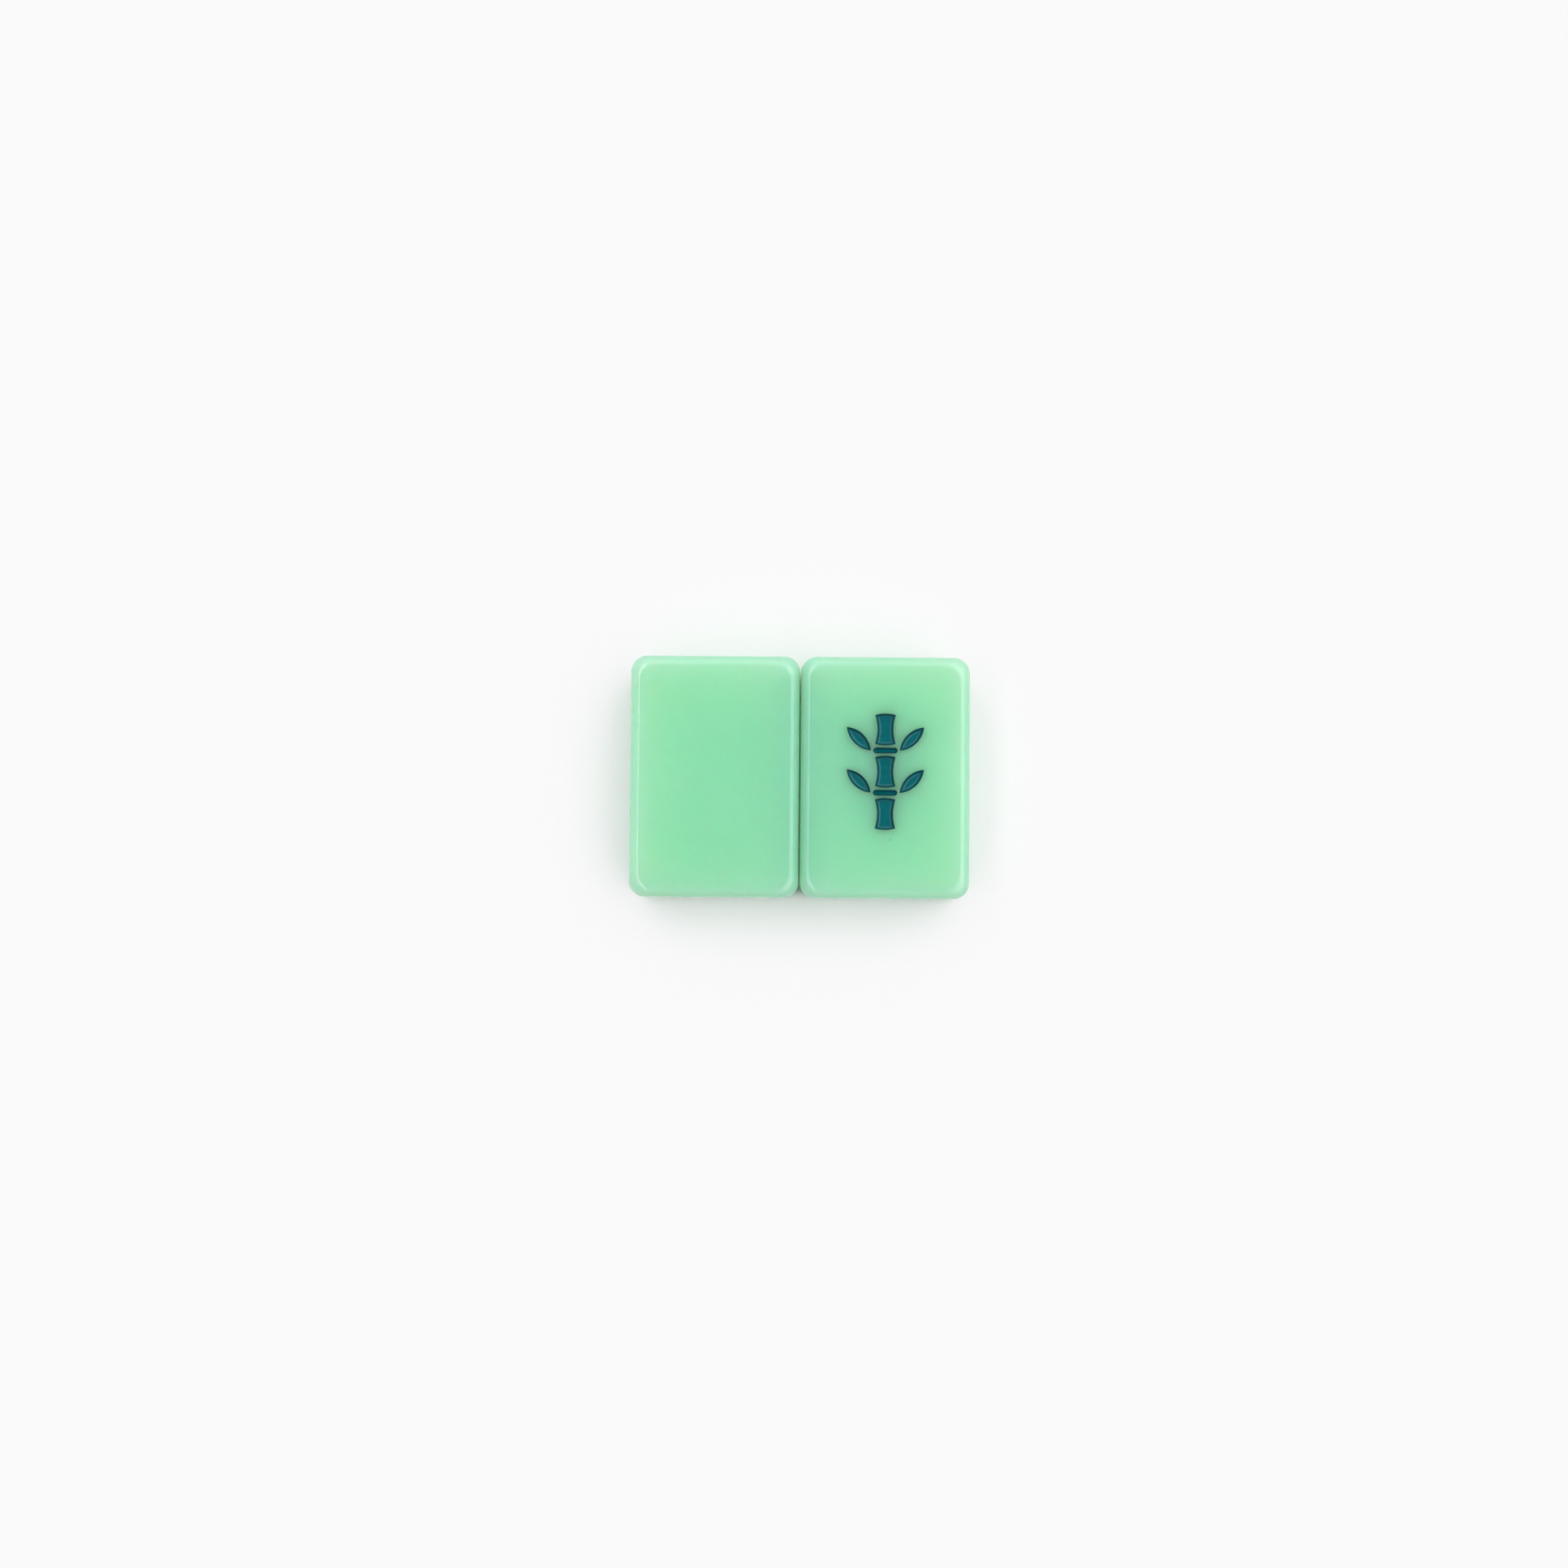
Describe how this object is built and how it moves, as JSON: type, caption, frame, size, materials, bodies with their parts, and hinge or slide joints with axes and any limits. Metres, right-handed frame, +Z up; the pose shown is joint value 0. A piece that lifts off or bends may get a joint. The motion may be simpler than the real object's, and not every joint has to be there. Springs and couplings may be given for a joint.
{
  "type": "mahjong tile pair",
  "caption": "Mint resin mahjong tiles lying side by side: a plain rounded block that slides clear, beside a block engraved with an enamel-lined bamboo stalk.",
  "frame": {"origin": "on the table, midway between the tiles", "axes": "+X from the plain tile to the engraved tile, +Y to the top of the figure, +Z up out of the face"},
  "size_m": [0.0448, 0.0318, 0.0127],
  "materials": {
    "mint_resin": "polished cast resin, slightly translucent",
    "teal_enamel": "satin enamel paint, wiped flush with the face"
  },
  "bodies": {
    "engraved_tile": {"engraved_block": "mint_resin", "bottom_cane_enamel": "teal_enamel", "middle_cane_enamel": "teal_enamel", "top_cane_enamel": "teal_enamel", "lower_knot_enamel": "teal_enamel", "upper_knot_enamel": "teal_enamel", "lower_left_leaf_enamel": "teal_enamel", "lower_right_leaf_enamel": "teal_enamel", "upper_left_leaf_enamel": "teal_enamel", "upper_right_leaf_enamel": "teal_enamel"},
    "plain_tile": {"plain_block": "mint_resin"}
  },
  "joints": [
    {"name": "plain_tile_slide", "type": "slide", "parent": "engraved_tile", "child": "plain_tile", "axis": [-1, 0, 0], "range_m": [0, 0.03]}
  ]
}
